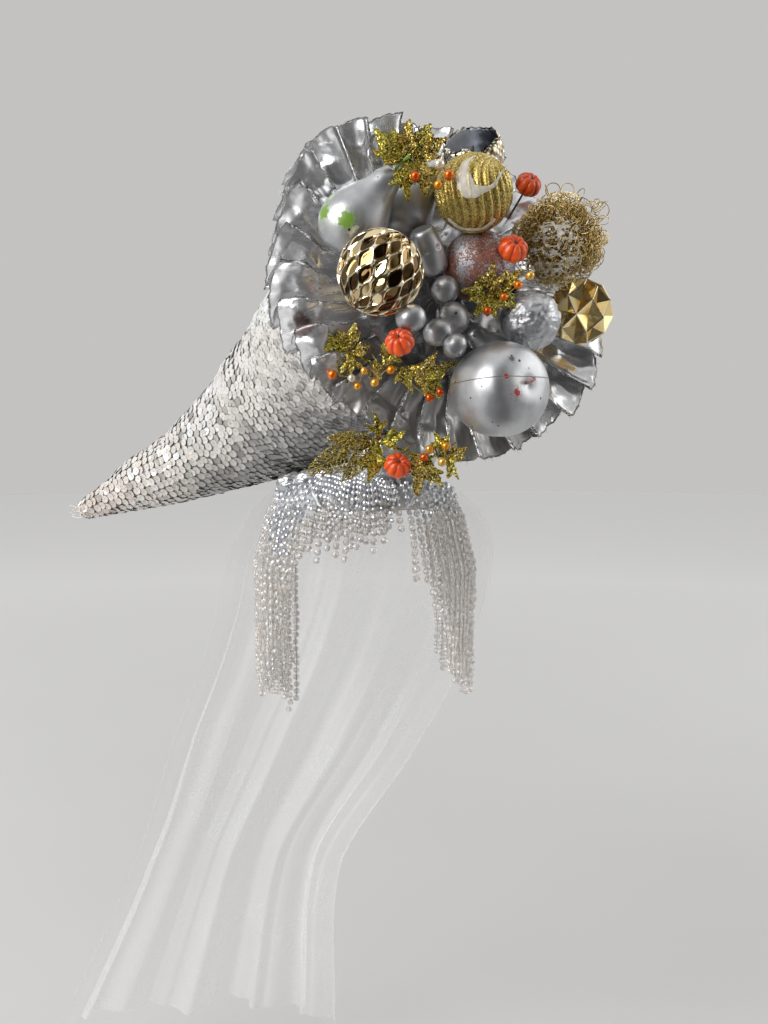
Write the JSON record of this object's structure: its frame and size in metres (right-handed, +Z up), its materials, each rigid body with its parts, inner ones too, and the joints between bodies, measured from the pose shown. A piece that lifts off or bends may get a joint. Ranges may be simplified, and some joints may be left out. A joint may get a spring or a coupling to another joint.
{
  "type": "cornucopia headdress",
  "caption": "Headdress with a sequinned horn of plenty on a beaded cap: its mouth, ringed by a silver pleated ruffle, spills fruit and baubles; bead fringe and tulle veil.",
  "frame": {"origin": "centre of the cap's head opening, level with its rim", "axes": "+Z up as worn, -Y the way the face looks, +X the wearer's left"},
  "size_m": [0.5948, 0.3995, 0.975],
  "materials": {
    "cap_cloth": "silver satin under sewn beads",
    "sequin_cloth": "overlapping cream iridescent sequins",
    "padding": "matte grey padding",
    "silver_lame": "crinkled metallic",
    "clear_beads": "clear faceted",
    "tulle": "sheer net",
    "silver_fruit": "satin silver paint, chipped",
    "mosaic": "mirror chips outside, dark inside",
    "rust": "terracotta with silver speckle",
    "gold_facet": "metallised gold",
    "gold_glitter": "gold glitter",
    "gold_wire": "fine tangled wire",
    "foil": "crumpled foil",
    "mirror_gold": "pale gold mirror",
    "pumpkin": "glossy orange paint",
    "stem": "plain",
    "leaf": "gold-green glitter",
    "berry": "glossy amber"
  },
  "bodies": {
    "root": {"cap": "cap_cloth", "horn": "sequin_cloth", "mouth_bed": "padding", "ruffle": "silver_lame", "crown_pad": "silver_lame", "fringe_left": "clear_beads", "fringe_front": "clear_beads", "fringe_right": "clear_beads", "veil": "tulle", "pear_rear": "silver_fruit", "broken_bauble": "mosaic", "rust_ball": "rust", "gourd": "silver_fruit", "star_bauble": "gold_facet", "pear": "silver_fruit", "pear_low": "silver_fruit", "glitter_bauble": "gold_glitter", "wire_ball": "gold_wire", "foil_ball": "foil", "mirror_bauble": "mirror_gold", "apple": "silver_fruit", "grape_1": "silver_fruit", "grape_2": "silver_fruit", "grape_3": "silver_fruit", "grape_4": "silver_fruit", "grape_5": "silver_fruit", "pumpkin_1": "pumpkin", "pumpkin_2": "pumpkin", "pumpkin_3": "pumpkin", "pumpkin_4": "pumpkin", "pear_stem": "stem", "apple_stem": "stem", "spray_top": "leaf", "spray_mid": "leaf", "spray_low": "leaf", "spray_cap": "leaf", "berries_top": "berry", "berries_mid": "berry", "berries_low": "berry", "berries_cap": "berry"}
  },
  "joints": []
}
